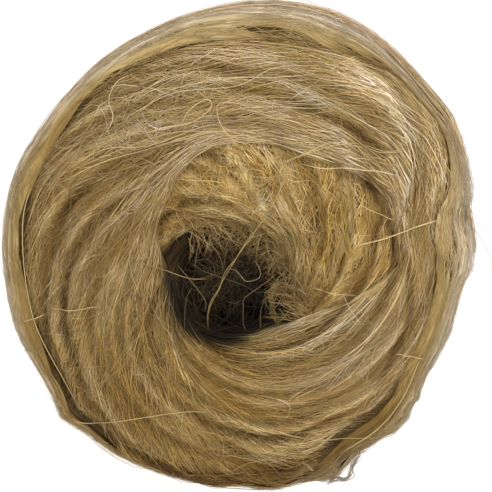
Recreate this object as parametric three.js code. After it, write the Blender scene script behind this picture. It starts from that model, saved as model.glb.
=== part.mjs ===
// A spool of plumbing hemp: one long roving of combed hemp, cross-wound on a mandrel that was
// drawn out again, so that a round hole is left through the middle. It stands on its end.
// Millimetres, +Z up along the winding axis, with the floor at z = 0.
import * as THREE from 'three';

// Driving dimensions
const SPOOL_DIAMETER = 100; // across the widest turns, on average
const SPOOL_HEIGHT = 72; // from the floor to the crown of the upper end
const HOLE_DIAMETER = 19; // what the mandrel left, at its narrowest
const HOLE_SHIFT = { x: -1.5, y: -7.4 }; // from the middle of the spool to the hole
const COLUMNS = 96; // mesh columns around the spool

const LAY_COUNT = 16; // overlapping lays that sweep out of the hole across the upper end
const WRAP_HEIGHT = 14; // from one wrap to the next on the side
const WRAP_STARTS = 4; // wraps side by side, so that each climbs this many heights in a turn

// The section from the hole to the outside and back, a row for each place on it. share runs from
// 0 at the hole's wall to 1 at the widest turns, and height is a share of the spool's height.
// sweep is how far the lays have turned by there. lay and wrap are how proud the lays and the
// wraps stand. steps is the number of mesh rings up to the next row.
const SECTION = [
  { place: 'hole, foot', share: 0.0, height: 0.07, sweep: 0, lay: 0, wrap: 0, steps: 2 },
  { place: 'hole, middle', share: 0.0, height: 0.42, sweep: 0, lay: 0, wrap: 0.2, steps: 2 },
  { place: 'throat', share: 0.01, height: 0.71, sweep: 0, lay: 0.2, wrap: 0.2, steps: 2 },
  { place: 'mouth', share: 0.09, height: 0.865, sweep: 0, lay: 0.6, wrap: 0, steps: 3 },
  { place: 'dish', share: 0.25, height: 0.94, sweep: 26, lay: 0.9, wrap: 0, steps: 4 },
  { place: 'crown', share: 0.53, height: 1.0, sweep: 62, lay: 0.9, wrap: 0, steps: 4 },
  { place: 'fall', share: 0.74, height: 0.968, sweep: 86, lay: 0.7, wrap: 0, steps: 3 },
  { place: 'groove edge', share: 0.83, height: 0.925, sweep: 96, lay: 0.4, wrap: 0, steps: 2 },
  { place: 'groove', share: 0.862, height: 0.893, sweep: 100, lay: 0, wrap: 0, steps: 2 },
  { place: 'rim', share: 0.92, height: 0.9, sweep: 100, lay: 0, wrap: 0.3, steps: 2 },
  { place: 'shoulder', share: 0.975, height: 0.845, sweep: 100, lay: 0, wrap: 0.6, steps: 4 },
  { place: 'side, high', share: 1.0, height: 0.7, sweep: 100, lay: 0, wrap: 0.8, steps: 5 },
  { place: 'side, middle', share: 1.0, height: 0.48, sweep: 100, lay: 0, wrap: 0.8, steps: 5 },
  { place: 'side, low', share: 0.99, height: 0.26, sweep: 100, lay: 0, wrap: 0.8, steps: 4 },
  { place: 'heel', share: 0.93, height: 0.08, sweep: 88, lay: 0, wrap: 0.4, steps: 3 },
  { place: 'floor, outside', share: 0.78, height: 0, sweep: 74, lay: 0, wrap: 0, steps: 3 },
  { place: 'floor, inside', share: 0.14, height: 0, sweep: 4, lay: 0, wrap: 0, steps: 2 },
];

// Where the outline swells or is pressed in, a row for each place. at and spread are degrees
// around the spool, and out is in millimetres.
const OUTLINE = [
  { at: 62, spread: 27, out: 2.5 },
  { at: 30, spread: 9, out: 0.9 },
  { at: 134, spread: 30, out: -2.2 },
  { at: 234, spread: 34, out: 1.0 },
  { at: 287, spread: 12, out: 0.7 },
  { at: 341, spread: 21, out: -3.0 },
];

// Edges of whole layers that lie over the one inside them, a row for each. An edge runs from one
// angle to the other at a share of the wall, and all inside it lies lower by drop millimetres.
const LAYER_EDGES = [
  { from: 15, to: 165, share: 0.42, fade: 0.05, drop: 2.0 },
  { from: -25, to: 85, share: 0.72, fade: 0.04, drop: 1.0 },
  { from: 185, to: 300, share: 0.62, fade: 0.05, drop: 0.6 },
];

const radians = THREE.MathUtils.degToRad;
const spoolRadius = SPOOL_DIAMETER / 2;
const holeRadius = HOLE_DIAMETER / 2;
const wall = spoolRadius - holeRadius; // thickness of the winding

/** 1 at the middle of a bump and falling away on both sides, for an angle in degrees. */
function bump(angle, at, spread) {
  const away = THREE.MathUtils.euclideanModulo(angle - at + 180, 360) - 180;
  return Math.exp(-0.5 * (away / spread) ** 2);
}

/** How far the outline stands out beyond its mean radius at this angle, in millimetres. */
function outline(angle) {
  return OUTLINE.reduce((sum, row) => sum + row.out * bump(angle, row.at, row.spread), 0);
}

/** How far the layers inside the layer edges lie below them, in millimetres. */
function layerDrop(angle, share) {
  const softEnds = 18; // degrees over which an edge runs out
  return LAYER_EDGES.reduce((sum, row) => {
    const half = (row.to - row.from) / 2;
    const away = Math.abs(THREE.MathUtils.euclideanModulo(angle - row.from - half + 180, 360) - 180);
    const along = 1 - THREE.MathUtils.smoothstep(away, half - softEnds, half + softEnds);
    const inside = 1 - THREE.MathUtils.smoothstep(share, row.share - row.fade, row.share + row.fade);
    return sum + row.drop * along * inside;
  }, 0);
}

/** A lay or wrap from its tucked-in edge (-0.5) up to its full back (0.5), once each turn of phase. */
function lapped(phase) {
  const part = THREE.MathUtils.euclideanModulo(phase, 1);
  return Math.sin(Math.PI * part ** 1.6) - 0.5;
}

/** The section as rings: its rows joined by one smooth closed curve, with each row's steps. */
function sectionRings() {
  const points = SECTION.map(
    (row) => new THREE.Vector3(holeRadius + row.share * wall, row.height * SPOOL_HEIGHT, 0),
  );
  const curve = new THREE.CatmullRomCurve3(points, true, 'centripetal');
  const rings = [];
  SECTION.forEach((row, i) => {
    const next = SECTION[(i + 1) % SECTION.length];
    for (let step = 0; step < row.steps; step += 1) {
      const part = step / row.steps;
      const t = (i + part) / SECTION.length;
      const at = curve.getPoint(t);
      const along = curve.getTangent(t);
      rings.push({
        share: THREE.MathUtils.clamp((at.x - holeRadius) / wall, 0, 1),
        out: at.x,
        up: Math.max(0, at.y),
        facing: new THREE.Vector2(-along.y, along.x),
        sweep: THREE.MathUtils.lerp(row.sweep, next.sweep, part),
        lay: THREE.MathUtils.lerp(row.lay, next.lay, part),
        wrap: THREE.MathUtils.lerp(row.wrap, next.wrap, part),
      });
    }
  });
  return rings;
}

/** The point of the wound surface on this ring, at this column. */
function woundPoint(ring, column) {
  const aroundLay = column / COLUMNS;
  const angle = aroundLay * 360 + ring.sweep;
  const fullness = 1 + 0.35 * Math.sin(radians(3 * angle + 40)); // some lays are fatter than others
  const lays = ring.lay * fullness * lapped(-aroundLay * LAY_COUNT);
  const climb = (WRAP_STARTS * angle) / 360;
  const rising = lapped(ring.up / WRAP_HEIGHT + climb);
  const falling = lapped(ring.up / WRAP_HEIGHT - climb);
  const proud = lays + ring.wrap * Math.max(rising, falling);

  const grip = ring.share ** 2; // the outline fades towards the hole
  const out = ring.out + grip * outline(angle) + proud * ring.facing.x;
  const up = ring.up + proud * ring.facing.y;
  const lowered = up > SPOOL_HEIGHT / 2 ? up - layerDrop(angle, ring.share) : up;
  const shift = (1 - ring.share) ** 1.2;
  return new THREE.Vector3(
    shift * HOLE_SHIFT.x + out * Math.cos(radians(angle)),
    shift * HOLE_SHIFT.y + out * Math.sin(radians(angle)),
    ring.up === 0 ? 0 : Math.max(0, lowered),
  );
}

/** The closed surface: rings of the section joined column by column, round both ways. */
function woundGeometry() {
  const rings = sectionRings();
  const positions = [];
  rings.forEach((ring) => {
    for (let column = 0; column < COLUMNS; column += 1) {
      positions.push(...woundPoint(ring, column).toArray());
    }
  });
  const index = [];
  rings.forEach((_, r) => {
    const here = r * COLUMNS;
    const beyond = ((r + 1) % rings.length) * COLUMNS;
    for (let column = 0; column < COLUMNS; column += 1) {
      const next = (column + 1) % COLUMNS;
      index.push(here + column, beyond + column, beyond + next);
      index.push(here + column, beyond + next, here + next);
    }
  });
  const geometry = new THREE.BufferGeometry();
  geometry.setAttribute('position', new THREE.Float32BufferAttribute(positions, 3));
  geometry.setIndex(index);
  geometry.computeVertexNormals();
  return geometry;
}

/** The spool itself, dry combed hemp: straw-coloured and dull. */
function woundHemp() {
  const hemp = new THREE.MeshStandardMaterial({ color: '#92794c', roughness: 0.75, metalness: 0 });
  const mesh = new THREE.Mesh(woundGeometry(), hemp);
  mesh.name = 'wound_hemp';
  return mesh;
}

/** Sets the model down with its box's middle on the axis and its lowest face on z = 0. */
function centred(group) {
  const middle = new THREE.Box3().setFromObject(group).getCenter(new THREE.Vector3());
  group.position.set(-middle.x, -middle.y, 0);
  return group;
}

const spool = new THREE.Group();
spool.add(woundHemp());

export default centred(spool);
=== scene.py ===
import bpy
import numpy as np
from mathutils import Matrix, Vector


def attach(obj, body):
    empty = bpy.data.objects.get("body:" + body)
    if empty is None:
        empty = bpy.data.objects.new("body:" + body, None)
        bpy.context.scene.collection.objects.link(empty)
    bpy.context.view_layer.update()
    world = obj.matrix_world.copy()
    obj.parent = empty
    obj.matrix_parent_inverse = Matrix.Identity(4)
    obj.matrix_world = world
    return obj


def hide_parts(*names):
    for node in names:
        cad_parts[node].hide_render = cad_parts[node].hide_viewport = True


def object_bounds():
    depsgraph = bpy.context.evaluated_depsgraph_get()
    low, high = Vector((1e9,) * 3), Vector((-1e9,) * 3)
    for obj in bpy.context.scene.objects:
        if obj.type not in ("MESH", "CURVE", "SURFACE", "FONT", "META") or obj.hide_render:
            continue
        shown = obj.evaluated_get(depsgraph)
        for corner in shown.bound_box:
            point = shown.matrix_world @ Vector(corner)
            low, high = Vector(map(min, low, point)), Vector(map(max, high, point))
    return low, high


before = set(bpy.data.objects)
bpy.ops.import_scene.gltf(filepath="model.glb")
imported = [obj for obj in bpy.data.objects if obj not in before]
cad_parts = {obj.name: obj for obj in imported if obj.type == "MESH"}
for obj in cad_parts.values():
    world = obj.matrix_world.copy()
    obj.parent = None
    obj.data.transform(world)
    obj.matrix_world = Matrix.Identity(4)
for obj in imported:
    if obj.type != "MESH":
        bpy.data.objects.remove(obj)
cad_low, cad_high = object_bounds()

# ---------------------------------------------------------------------------------------------
# The stand: a pale bench top under soft studio light, seen from almost straight above, a little
# to the far right of the spool, so that its outer wraps show there. Nothing here is the object.
# ---------------------------------------------------------------------------------------------
MM = 0.001
VIEW_WIDTH = 105.0 * MM       # what the frame takes in at the spool's middle
VIEW_DISTANCE = 0.9
VIEW_TILT = 5.5               # degrees off the winding axis
VIEW_TOWARDS = 50.0           # degrees round from +X: the side that the camera leans to
AIM_OFF = (0.65 * MM, -1.1 * MM)  # the aim, right of and below the middle of the spool


def colour(code):
    """Linear red, green and blue of an sRGB hex code such as "92794c": each channel c goes to
    c / 12.92 below 0.04045, and to ((c + 0.055) / 1.055) ** 2.4 above it."""
    channels = np.array([int(code[i:i + 2], 16) for i in (0, 2, 4)]) / 255
    return np.where(channels < 0.04045, channels / 12.92, ((channels + 0.055) / 1.055) ** 2.4)


def node(tree, kind, settings=(), **links):
    """Adds a node of this kind. settings are its properties and unlinked inputs, and links joins
    other nodes' sockets to its inputs, with _ for a space in an input's name."""
    made = tree.nodes.new(kind)
    for key, value in dict(settings).items():
        if isinstance(key, int) or key in made.inputs:
            made.inputs[key].default_value = value
        else:
            setattr(made, key, value)
    for key, socket in links.items():
        tree.links.new(socket, made.inputs[key.replace("_", " ")])
    return made


def surfaced(name, vertices, faces, smooth=True):
    """A mesh object at the origin from arrays of vertices, in metres, and of faces of one size,
    shaded smooth or flat."""
    mesh = bpy.data.meshes.new(name)
    count, size = faces.shape
    mesh.vertices.add(len(vertices))
    mesh.vertices.foreach_set("co", vertices.astype(np.float32).ravel())
    mesh.loops.add(count * size)
    mesh.loops.foreach_set("vertex_index", faces.astype(np.int32).ravel())
    mesh.polygons.add(count)
    mesh.polygons.foreach_set("loop_start", np.arange(0, count * size, size, dtype=np.int32))
    mesh.polygons.foreach_set("use_smooth", np.full(count, smooth))
    mesh.update(calc_edges=True)
    made = bpy.data.objects.new(name, mesh)
    bpy.context.scene.collection.objects.link(made)
    return made


spool_middle = Vector((0, 0, (cad_low[2] + cad_high[2]) / 2))
tilt, towards = np.radians(VIEW_TILT), np.radians(VIEW_TOWARDS)
back = Vector((np.sin(tilt) * np.cos(towards), np.sin(tilt) * np.sin(towards), np.cos(tilt)))
right = Vector((0, 1, 0)).cross(back).normalized()
above = back.cross(right)
aim = spool_middle + AIM_OFF[0] * right + AIM_OFF[1] * above
camera = bpy.data.objects.new("camera", bpy.data.cameras.new("camera"))
camera.data.sensor_width = 36
camera.data.lens = 36 * VIEW_DISTANCE / VIEW_WIDTH
camera.data.clip_start = 0.05
camera.matrix_world = Matrix.Translation(aim + VIEW_DISTANCE * back) @ Matrix(
    (right, above, back)
).transposed().to_4x4()
bpy.context.scene.collection.objects.link(camera)
bpy.context.scene.camera = camera

bench_reach = 2.0
bench = surfaced(
    "bench_top",
    np.array([[-1, -1, 0], [1, -1, 0], [1, 1, 0], [-1, 1, 0]]) * bench_reach,
    np.array([[0, 1, 2, 3]]),
)
# White lacquer sprayed on board and rubbed down matt: it shows only the spool's soft shadow.
bench_paint = bpy.data.materials.new("matt_white_lacquer")
bench_paint.use_nodes = True
bench_coat = bench_paint.node_tree.nodes["Principled BSDF"]
bench_coat.inputs["Base Color"].default_value = (*colour("f8f8f8"), 1)
bench_coat.inputs["Roughness"].default_value = 0.7
bench.data.materials.append(bench_paint)

LAMPS = (
    {"name": "key", "at": (0.35, 0.6, 0.75), "size": 1.4, "watts": 11.5},
    {"name": "fill", "at": (-0.1, -0.7, 0.9), "size": 1.4, "watts": 7.5},
)
for row in LAMPS:
    lamp = bpy.data.objects.new(row["name"], bpy.data.lights.new(row["name"], "AREA"))
    lamp.data.size = row["size"]
    lamp.data.energy = row["watts"]
    lamp.location = row["at"]
    lamp.rotation_euler = (spool_middle - Vector(row["at"])).to_track_quat("-Z", "Y").to_euler()
    bpy.context.scene.collection.objects.link(lamp)
sky = bpy.data.worlds.new("studio")
sky.use_nodes = True
sky.node_tree.nodes["Background"].inputs["Color"].default_value = (1, 1, 1, 1)
sky.node_tree.nodes["Background"].inputs["Strength"].default_value = 0.94
bpy.context.scene.world = sky
bpy.context.scene.view_settings.view_transform = "Standard"

# ---------------------------------------------------------------------------------------------
# The wound body: the roving's buried turns, packed firm on a mandrel that was drawn out again.
# It is dressed hemp, brown in the shade between the fibres that lie over it.
# ---------------------------------------------------------------------------------------------
SPOOL_RADIUS = 50.0
SPOOL_HEIGHT = 72.0
HOLE_RADIUS = 9.5
HOLE_SHIFT = (-1.5, -7.4)     # from the middle of the spool to the hole
WALL = SPOOL_RADIUS - HOLE_RADIUS

GROOVE_SHARE = 0.862          # share of the wall's thickness at which the groove runs
# Round the section, from the foot of the hole up, over the upper end, down the side and back
# along the floor: share of the wall's thickness, and share of the height.
SECTION = (
    {"place": "hole foot", "share": 0.0, "height": 0.07},
    {"place": "hole middle", "share": 0.0, "height": 0.42},
    {"place": "throat", "share": 0.01, "height": 0.71},
    {"place": "mouth", "share": 0.09, "height": 0.865},
    {"place": "dish", "share": 0.25, "height": 0.94},
    {"place": "crown", "share": 0.53, "height": 1.0},
    {"place": "fall", "share": 0.74, "height": 0.968},
    {"place": "groove edge", "share": 0.83, "height": 0.925},
    {"place": "groove", "share": GROOVE_SHARE, "height": 0.893},
    {"place": "rim", "share": 0.92, "height": 0.9},
    {"place": "shoulder", "share": 0.975, "height": 0.845},
    {"place": "side high", "share": 1.0, "height": 0.7},
    {"place": "side middle", "share": 1.0, "height": 0.48},
    {"place": "side low", "share": 0.99, "height": 0.26},
    {"place": "heel", "share": 0.93, "height": 0.08},
    {"place": "floor outside", "share": 0.78, "height": 0.0},
    {"place": "floor inside", "share": 0.14, "height": 0.0},
)
# How far the outline stands out from a circle, in mm, at each angle round the spool in degrees.
OUTLINE = {0: -0.7, 10: -1.7, 20: 0.6, 30: 1.7, 40: 1.1, 50: 1.7, 60: 2.4, 70: 2.6, 80: 2.1,
           90: 1.2, 100: 0.4, 110: -0.5, 120: -0.9, 130: -1.2, 140: -1.4, 150: -1.1, 160: -0.1,
           170: 0.1, 180: 0.1, 190: 0.1, 200: 0.6, 210: 0.1, 216: 0.2, 220: 1.2, 224: 2.6, 230: 1.1,
           240: 1.4, 250: 0.7, 260: 0.7, 265: 1.1, 270: 0.5, 280: 1.8, 290: 1.6, 300: 0.0, 310: 0.7,
           320: -0.9, 330: -2.5, 340: -2.7, 350: -2.5}
# The torn edge of the last wraps: how far it stands out there, in mm.
TORN = {2: 0.4, 5: 0.3, 7.5: -1.0, 9.2: -0.9, 11.4: 1.4, 15: 1.4, 19: 0.4, 22: 0, 272: 0,
        276: 0.6, 281: 0, 285: -0.5, 288.4: -0.9, 289.8: 1.2, 292.5: 1.9, 294.4: 1.9,
        295.6: -1.4, 298: -2.4, 300: 0.1,
        303: 0.2, 306: -0.4, 308.5: -0.2, 310.5: 0.6, 312: 0.2, 315: 0.8, 316.5: -0.1, 318.5: -0.6,
        320: 0.5, 322: -0.8, 325: -1.7, 328: -0.3, 331: 0.1, 337: 0.4, 340: 0.2, 346: -0.1, 351: -0.3,
        352.5: 0.5, 354.5: 1.2, 356: 0.8, 358: 0.5}
# The lip of the outer layers round the dish: share of the wall at which it lies at each angle.
LIP = {-52: 0.0, -44: 0.04, -38: 0.09, -30: 0.16, -23: 0.23, -12: 0.40, -7: 0.53, -3: 0.61, 1: 0.68,
       12: 0.665, 21: 0.63, 32: 0.57, 48: 0.49, 63: 0.43, 82: 0.425, 98: 0.41, 110: 0.37, 122: 0.31,
       136: 0.25, 150: 0.195, 163: 0.1, 176: 0.0}
# How far the dish's layer has slipped in over the hole at each angle, in mm.
SLIPPED = {-25: 0.0, 5: 0.6, 35: 1.3, 70: 1.3, 95: 0.9, 120: 0.2, 140: 0.0}
LIP_DROP = 2.0                # how far the dish's own layer lies below the outer ones
# The groove inside the rim: share of the wall at which it runs, and how much of it is open. The
# section has it at GROOVE_SHARE, and is drawn out or in from there.
GROOVE_AT = {2: 0.79, 12: 0.80, 24: 0.89, 34: 0.94, 48: 0.93, 58: 0.88, 66: 0.845, 76: 0.828, 87: 0.822,
             100: 0.84, 120: 0.848, 133: 0.864, 146: 0.864, 156: 0.851, 168: 0.832, 185: 0.84, 205: 0.83,
             222: 0.85, 234: 0.875, 248: 0.88, 265: 0.86, 282: 0.86, 297: 0.83, 306: 0.81,
             318: 0.825, 330: 0.84, 350: 0.835}
GROOVE_OPEN = {0: 0.6, 12: 0.2, 25: 0.1, 35: 0.3, 50: 0.35, 60: 0.3, 80: 0.5, 95: 0.55, 120: 0.25,
               140: 0.75, 155: 0.55, 175: 0.75, 190: 0.6, 205: 0.75, 222: 0.95, 234: 0.9, 246: 0.4,
               260: 0.0, 285: 0.2, 298: 1.0, 312: 1.0, 322: 0.5, 332: 0.4, 343: 0.35, 350: 0.6}
GROOVE_FILL = 2.2             # how far the wraps fill the groove where it is shut, in mm
RIDGE_HEIGHT = 0.5            # how far the locks' ridges stand up, in mm
# Creases between the locks: share of the wall at each angle in degrees, depth and half width
# in mm. Each fades out over its last 6 degrees.
CREASES = (
    {"at": {34: 0.665, 50: 0.643, 64: 0.631, 80: 0.649, 98: 0.67}, "deep": 1.3, "wide": 0.55},
    {"at": {-44: 0.80, -30: 0.79, -13: 0.75, -8: 0.735, 0: 0.705, 11: 0.65, 18: 0.62},
     "deep": 1.4, "wide": 0.5},
    {"at": {106: 0.43, 114: 0.449, 124: 0.443, 142: 0.509, 160: 0.66, 168: 0.71}, "deep": 0.6, "wide": 0.6},
    {"at": {40: 0.74, 60: 0.73, 80: 0.75, 100: 0.77}, "deep": 0.8, "wide": 0.6},
    {"at": {-66: 0.49, -60: 0.515, -53: 0.57, -46: 0.607, -38: 0.65}, "deep": 0.5, "wide": 0.4},
    {"at": {101: 0.128, 109: 0.137, 115: 0.156, 122: 0.179, 129: 0.185}, "deep": 1.6, "wide": 0.45},
    {"at": {127: 0.175, 136: 0.18, 146: 0.178}, "deep": 1.3, "wide": 0.4},
    {"at": {84: 0.190, 91: 0.184, 98: 0.176}, "deep": 1.0, "wide": 0.35},
    {"at": {86: 0.110, 92: 0.107, 99: 0.106}, "deep": 1.0, "wide": 0.35},
    {"at": {12: 0.56, 21: 0.60, 32: 0.555, 40: 0.53}, "deep": 1.3, "wide": 0.6},
    {"at": {150: 0.62, 175: 0.70, 200: 0.76}, "deep": 0.5, "wide": 0.6},
    {"at": {-130: 0.50, -105: 0.60, -85: 0.70}, "deep": 0.45, "wide": 0.6},
    {"at": {-120: 0.35, -95: 0.42, -70: 0.52}, "deep": 0.45, "wide": 0.6},
)


def round_table(table, angle):
    """The table's value at each angle in radians, in straight lines between its degrees."""
    return np.interp(angle, np.radians(list(table)), list(table.values()), period=2 * np.pi)


def eased(x):
    """0 up to 0 and 1 from 1 on, in a smooth step: 3 x^2 - 2 x^3 between."""
    x = np.clip(x, 0, 1)
    return x * x * (3 - 2 * x)


def smooth_section(rows, each):
    """Out and up in mm round the section: a closed centripetal Catmull-Rom curve through the
    rows. Between two rows it blends the straight lines through four neighbours, each by how
    near its own knots are, and knots lie apart by the square root of the distance."""
    knots = np.array([[HOLE_RADIUS + r["share"] * WALL, r["height"] * SPOOL_HEIGHT] for r in rows])
    p = [np.roll(knots, k, axis=0)[:, None] for k in (1, 0, -1, -2)]
    gaps = [np.linalg.norm(b - a, axis=2, keepdims=True) ** 0.5 for a, b in zip(p, p[1:])]
    t = np.cumsum([np.zeros_like(gaps[0]), *gaps], axis=0)
    at = t[1] + (t[2] - t[1]) * np.linspace(0, 1, each, endpoint=False)[None, :, None]

    def mix(a, b, low, high):
        return a + (b - a) * (at - low) / (high - low)

    a = [mix(p[i], p[i + 1], t[i], t[i + 1]) for i in range(3)]
    b = [mix(a[i], a[i + 1], t[i], t[i + 2]) for i in range(2)]
    return np.maximum(mix(b[0], b[1], t[1], t[2]).reshape(-1, 2), [HOLE_RADIUS * 0.9, 0])


SECTION_STEPS = 80            # points from one row of the section to the next
curve = smooth_section(SECTION, SECTION_STEPS)
curve = np.vstack([curve, curve[:1]])
curve_run = np.r_[0, np.cumsum(np.linalg.norm(np.diff(curve, axis=0), axis=1))]
curve_slope = np.gradient(curve, curve_run, axis=0)
SECTION_LENGTH = curve_run[-1]
# How far along the section each named place is, in mm.
place = {row["place"]: curve_run[SECTION_STEPS * i] for i, row in enumerate(SECTION)}


def outline(angle):
    """How far the outline stands out at this angle, in mm."""
    return round_table(OUTLINE, angle)


def frill(angle, run):
    """How far the torn edge of the last wraps stands out or is missing, in mm."""
    return round_table(TORN, angle) * np.exp(-0.5 * ((run - place["shoulder"] - 8) / 6) ** 2)


def out_at(run):
    """How far out the winding is at this run along the section, in mm."""
    return np.interp(run % SECTION_LENGTH, curve_run, curve[:, 0])


def share_at(run):
    """Share of the wall's thickness at this run along the section, from 0 at the hole."""
    return np.clip((out_at(run) - HOLE_RADIUS) / WALL, 0, 1)


def signed_degrees(angle):
    """The angle in degrees, from -180 to 180."""
    return (np.degrees(angle) + 180) % 360 - 180


lump_rng = np.random.default_rng(11)
LUMPS = [
    (k, m, lump_rng.uniform(0, 2 * np.pi), lump_rng.normal() / np.hypot(k, 1.5 * m))
    for k in range(1, 12) for m in range(-6, 7) if (k, m) != (0, 0)
]
# Ridges left by the locks on the upper end: so many round the spool, each swept outwards by
# SWEEP mm along the section for every radian round it.
SWEEP = 13.0
RIDGES = [
    (n, k, lump_rng.uniform(0, 2 * np.pi), lump_rng.normal())
    for n in range(5, 24) for k in (-2, -1, 0, 1, 2)
]


def lumps(angle, run):
    """Soft unevenness of the winding, in mm, about zero: waves round it and along its section."""
    along = 2 * np.pi * run / SECTION_LENGTH
    return 0.16 * sum(s * np.sin(k * angle + m * along + p) for k, m, p, s in LUMPS)


def ridges(angle, run):
    """How far a point of the upper end is up a ridge, about zero, to about 1 or -1: waves across
    the sweep of the locks, each coming and going round the spool."""
    swept = run / SWEEP - angle
    return 0.16 * sum(s * np.sin(n * swept + k * angle + p) for n, k, p, s in RIDGES)


def pinch(angle, run):
    """How far the dish's layer has slipped in over the hole about its throat, in mm."""
    return round_table(SLIPPED, angle) * np.exp(-0.5 * ((run - place["throat"]) / 5) ** 2)


def creases(angle, run):
    """How deep the creases between the locks are at each place, in mm."""
    degrees = signed_degrees(angle)
    share = share_at(run)
    deep = np.zeros_like(share)
    for row in CREASES:
        at = list(row["at"])
        line = np.interp(degrees, at, list(row["at"].values()))
        fade = eased((degrees - at[0]) / 6) * eased((at[-1] - degrees) / 6)
        off = (share - line) * WALL / row["wide"]
        deep = deep + row["deep"] * fade * np.exp(-0.5 * off ** 2)
    return deep * (run > place["throat"]) * (run < place["groove"])


def wound_form(angle, run, proud):
    """Points of the winding in metres. The section at run is turned to angle about a middle that
    moves over to the hole as the share falls, swollen by the outline and the lumps, and raised
    by proud mm along the section's own outward side."""
    run = run % SECTION_LENGTH
    out, up = (np.interp(run, curve_run, curve[:, i]) for i in (0, 1))
    side, rise = (np.interp(run, curve_run, curve_slope[:, i]) for i in (0, 1))
    length = np.hypot(side, rise)
    share = share_at(run)
    on_top = eased((share - 0.45) / (GROOVE_SHARE - 0.45)) * eased((1 - share) / (1 - GROOVE_SHARE))
    upper = (run > place["throat"]) & (run < place["side middle"])
    moved = (round_table(GROOVE_AT, angle) - GROOVE_SHARE) * on_top * upper
    from_groove = (run - place["groove"]) / 1.9
    fill = GROOVE_FILL * (1 - round_table(GROOVE_OPEN, angle)) * np.exp(-0.5 * from_groove ** 2)
    face = upper * eased((share - 0.05) / 0.15) * eased((0.86 - share) / 0.1)
    raised = proud + fill + lumps(angle, run) * np.clip(up / 10, 0, 1) * (1 - 0.6 * (share > 0.95))
    raised = raised + RIDGE_HEIGHT * face * ridges(angle, run) - creases(angle, run) + frill(angle, run)
    radius = out + WALL * moved + share ** 2 * outline(angle) - raised * rise / length
    radius = radius - pinch(angle, run)
    shift = (1 - share) ** 1.2
    points = np.stack([
        shift * HOLE_SHIFT[0] + radius * np.cos(angle),
        shift * HOLE_SHIFT[1] + radius * np.sin(angle),
        up + raised * side / length,
    ], axis=-1)
    return (points - form_middle) * MM


def dish_drop(angle, run):
    """How far the dish's layer lies below the outer ones, in mm: LIP_DROP inside the lip."""
    upper = (run > place["throat"]) & (run < place["side middle"])
    return LIP_DROP * eased((round_table(LIP, angle) - share_at(run)) / 0.05 + 0.5) * upper


BODY_ROUND, BODY_ALONG = 128, 80  # the body's mesh, round the spool and along its section
form_middle = np.zeros(3)
around, along = np.meshgrid(
    np.linspace(0, 2 * np.pi, BODY_ROUND, endpoint=False),
    np.linspace(0, SECTION_LENGTH, BODY_ALONG, endpoint=False), indexing="ij",
)
body_points = wound_form(around, along, 0.0).reshape(-1, 3)
form_middle = (body_points.min(0) + body_points.max(0)) / 2 / MM * [1, 1, 0]

BODY_DEPTH = 1.6              # the buried turns start this far under the surface fibres
SIDE_RISE = 0.35              # and this much less deep down the side
GROOVE_DEPTH = 1.8            # and this much deeper in the groove
to_floor = np.clip((place["floor outside"] - along) / (place["floor outside"] - place["heel"]), 0, 1)
depth = (BODY_DEPTH - SIDE_RISE * (along > place["shoulder"])) * to_floor
depth = depth + GROOVE_DEPTH * np.exp(-0.5 * ((along - place["groove"]) / 1.8) ** 2)
body_points = wound_form(around, along, -depth - dish_drop(around, along)).reshape(-1, 3)
body_points[:, 2] = np.maximum(body_points[:, 2], 0)
i, j = (x.ravel() for x in np.indices((BODY_ROUND, BODY_ALONG)))
next_i, next_j = (i + 1) % BODY_ROUND, (j + 1) % BODY_ALONG
body_faces = np.stack([
    i * BODY_ALONG + j, i * BODY_ALONG + next_j, next_i * BODY_ALONG + next_j, next_i * BODY_ALONG + j,
], axis=1)
body = surfaced("wound_body", body_points, body_faces)

# Buried hemp, dull and painted a darker mottled brown, as the shade in the gaps between strands where it
# shows.
shaded_hemp = bpy.data.materials.new("buried_hemp")
shaded_hemp.use_nodes = True
tree = shaded_hemp.node_tree
coords = node(tree, "ShaderNodeTexCoord")
grain = node(tree, "ShaderNodeTexNoise", {"Scale": 900.0, "Detail": 3.0}, Vector=coords.outputs["Object"])
shades = node(
    tree, "ShaderNodeMix", {"data_type": "RGBA", 6: (*colour("523c1d"), 1), 7: (*colour("7c6134"), 1)},
    Factor=grain.outputs["Fac"],
)
tree.links.new(shades.outputs[2], tree.nodes["Principled BSDF"].inputs["Base Color"])
tree.nodes["Principled BSDF"].inputs["Roughness"].default_value = 0.85
body.data.materials.append(shaded_hemp)
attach(body, "root")
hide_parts("wound_hemp")

# ---------------------------------------------------------------------------------------------
# The lays over the upper end: flat strands of combed hemp fibre that sweep out of the hole and
# tuck in under the rim's wraps. They are held only by how tightly they were wound.
# ---------------------------------------------------------------------------------------------
# How far the fibres lean outwards from the turning direction, in degrees, close to the hole and
# out by the groove, at each angle round the spool.
LEAN_NEAR = {0: 40, 30: 20, 60: -10, 90: -16, 120: -12, 150: 6, 180: 18, 210: 38, 240: 32,
             270: 30, 300: 30, 330: 46}
LEAN_FAR = {0: 3, 30: -3, 60: -6, 90: 5, 120: 20, 150: 33, 180: 31, 210: 44, 240: 47, 270: 40,
            300: 24, 330: 12}


def colours(codes):
    """Linear colours of sRGB hex codes that are set apart by spaces."""
    return [colour(code) for code in codes.split()]


HEMP = colours("9b804d a98f5e 8d6f3f ae9869 8e7345 a48957 806438 967a48")
PALE_HEMP = colours("a78f60 a1895b ac956a 9e8555 a69064 9a8253")
# Browner hues of the buried lays: painted shade, for they show only in the gaps between the fibres over
# them.
BURIED_SHADE_HEMP = colours("866739 7c5f33 8f713f 755a32")
# The upper end's runs along the section with their shares of the wall, and the lip's slope.
FACE_RUNS = np.linspace(place["throat"], place["rim"], 300)
FACE_SHARES = share_at(FACE_RUNS)
LIP_DEGREES = np.arange(-180, 181)
LIP_SLOPE = np.gradient(round_table(LIP, np.radians(LIP_DEGREES)) * WALL, np.radians(1.0))


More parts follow.
